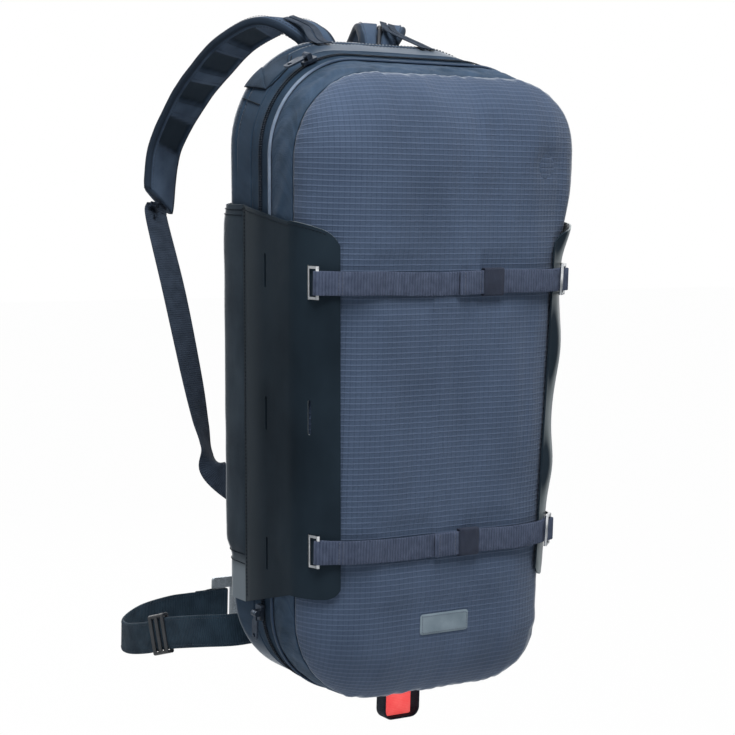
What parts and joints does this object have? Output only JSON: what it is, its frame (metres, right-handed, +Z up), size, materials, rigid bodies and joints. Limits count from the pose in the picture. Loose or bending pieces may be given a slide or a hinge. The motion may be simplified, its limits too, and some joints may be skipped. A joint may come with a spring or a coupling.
{
  "type": "avalanche airbag backpack",
  "caption": "Slim airbag backpack with coated side wings, compression straps, zipped body, padded shoulder straps, hip belt and a gas inflation unit with pull trigger.",
  "frame": {"origin": "centre of the back panel's contact face, where it lies on the wearer's back", "axes": "+Y out of the back panel towards the wearer, +Z up, +X to the right as seen from the front panel"},
  "size_m": [0.2924, 0.4124, 0.6279],
  "materials": {
    "ripstop": "slate blue ripstop with a fine grid of ribs",
    "body_fabric": "dark blue woven fabric",
    "gusset_fabric": "grey blue woven fabric",
    "piping": "pale woven piping",
    "zip_tape": "dark woven tape",
    "zip_coil": "dark nylon coil",
    "zip_metal": "dark painted metal",
    "coated_wing": "smooth coated cloth, satin",
    "sleeve_fabric": "coated cloth, satin",
    "airbag_nylon": "thin coated nylon",
    "webbing": "ribbed webbing",
    "keeper_elastic": "elastic tape",
    "polished_metal": "bright metal",
    "label": "bare sewn patch",
    "loop_webbing": "dark webbing",
    "red_patch": "red webbing",
    "back_mesh": "padded mesh",
    "frame_plastic": "plain sheet",
    "stay_alloy": "plain alloy",
    "cartridge_steel": "brushed steel",
    "clamp_plastic": "black plastic",
    "unit_alloy": "machined alloy",
    "lever_plastic": "red plastic",
    "pin_steel": "ground steel",
    "hose_rubber": "black rubber",
    "cable_sheath": "black sheath",
    "strap_pad": "padded woven fabric",
    "trigger_plastic": "red moulded grip",
    "belt_webbing": "broad webbing",
    "dark_plastic": "dark moulded plastic",
    "button_plastic": "dark button"
  },
  "bodies": {
    "pack": {"main_body": "body_fabric", "front_panel": "ripstop", "gusset_band": "gusset_fabric", "gusset_piping": "piping", "main_zip_tape": "zip_tape", "zip_coil": "zip_coil", "corner_tabs": "coated_wing", "side_wing_left": "coated_wing", "side_wing_right": "coated_wing", "airbag_cover_left": "sleeve_fabric", "airbag_cover_right": "sleeve_fabric", "airbag_left": "airbag_nylon", "airbag_right": "airbag_nylon", "upper_strap": "webbing", "lower_strap": "webbing", "strap_hooks": "polished_metal", "strap_buckles": "polished_metal", "label_patch": "label", "bottom_loop": "loop_webbing", "bottom_loop_patch": "red_patch", "back_panel": "back_mesh", "lumbar_pad": "back_mesh", "frame_sheet": "frame_plastic", "frame_stays": "stay_alloy", "gas_cartridge": "cartridge_steel", "cartridge_clamp": "clamp_plastic", "inflation_unit": "unit_alloy", "lever_pin": "pin_steel", "hose_left": "hose_rubber", "hose_right": "hose_rubber", "airbag_port_left": "unit_alloy", "airbag_port_right": "unit_alloy", "pull_cable": "cable_sheath", "cable_grommet": "clamp_plastic", "shoulder_strap_left": "strap_pad", "shoulder_strap_right": "strap_pad", "strap_webbing_left": "webbing", "strap_webbing_right": "webbing", "load_lifter_left": "webbing", "load_lifter_right": "webbing", "trigger_socket": "clamp_plastic", "hip_belt_left": "belt_webbing", "hip_belt_right": "belt_webbing", "belt_buckle_frame": "polished_metal", "belt_buckle_tongue": "polished_metal"},
    "trigger_handle": {"trigger_handle": "trigger_plastic"},
    "release_lever": {"release_lever": "lever_plastic"},
    "top_zip_slider": {"top_zip_slider": "zip_metal"},
    "top_zip_puller": {"top_zip_puller": "zip_metal"},
    "bottom_zip_slider": {"bottom_zip_slider": "zip_metal"},
    "bottom_zip_puller": {"bottom_zip_puller": "zip_metal"},
    "upper_keeper": {"upper_keeper": "keeper_elastic"},
    "lower_keeper": {"lower_keeper": "keeper_elastic"},
    "belt_triglide": {"belt_triglide": "dark_plastic"},
    "belt_buckle_button": {"belt_buckle_button": "button_plastic"}
  },
  "joints": [
    {"name": "trigger_pull", "type": "slide", "parent": "pack", "child": "trigger_handle", "axis": [0.1295, 0.6775, -0.724], "range_m": [0, 0.03]},
    {"name": "release_lever_turn", "type": "hinge", "parent": "pack", "child": "release_lever", "pos_m": [0.06, -0.0477, 0.1103], "axis": [0, 1, 0], "range_deg": [0, 34.5]},
    {"name": "top_zip_slide", "type": "hinge", "parent": "pack", "child": "top_zip_slider", "pos_m": [-0.05211, -0.0825, 0.18049], "axis": [0, -1, 0], "range_deg": [-10, 14]},
    {"name": "top_puller_swing", "type": "hinge", "parent": "top_zip_slider", "child": "top_zip_puller", "pos_m": [-0.09422, -0.0841, 0.26313], "axis": [-0.0887, 0.9807, 0.1741], "range_deg": [0, 110]},
    {"name": "bottom_zip_slide", "type": "hinge", "parent": "pack", "child": "bottom_zip_slider", "pos_m": [-0.0452, -0.0825, -0.211], "axis": [0, -1, 0], "range_deg": [0, 35]},
    {"name": "bottom_puller_swing", "type": "hinge", "parent": "bottom_zip_slider", "child": "bottom_zip_puller", "pos_m": [-0.13307, -0.0825, -0.21869], "axis": [0, 1, 0], "range_deg": [-3, 90]},
    {"name": "upper_keeper_slide", "type": "slide", "parent": "pack", "child": "upper_keeper", "axis": [1, 0, 0], "range_m": [0, 0.02]},
    {"name": "lower_keeper_slide", "type": "slide", "parent": "pack", "child": "lower_keeper", "axis": [1, 0, 0], "range_m": [0, 0.02]},
    {"name": "belt_triglide_slide", "type": "slide", "parent": "pack", "child": "belt_triglide", "axis": [-0.1101, 0.9427, -0.315], "range_m": [-0.006, 0.006]},
    {"name": "buckle_button_press", "type": "slide", "parent": "pack", "child": "belt_buckle_button", "axis": [0, -1, 0], "range_m": [0, 0.0014], "stiffness_N_per_m": 800, "springref_m": -0.0005}
  ],
  "couplings": [
    {"joint": "release_lever_turn", "follows": "trigger_pull", "rad_per_m": 20}
  ]
}
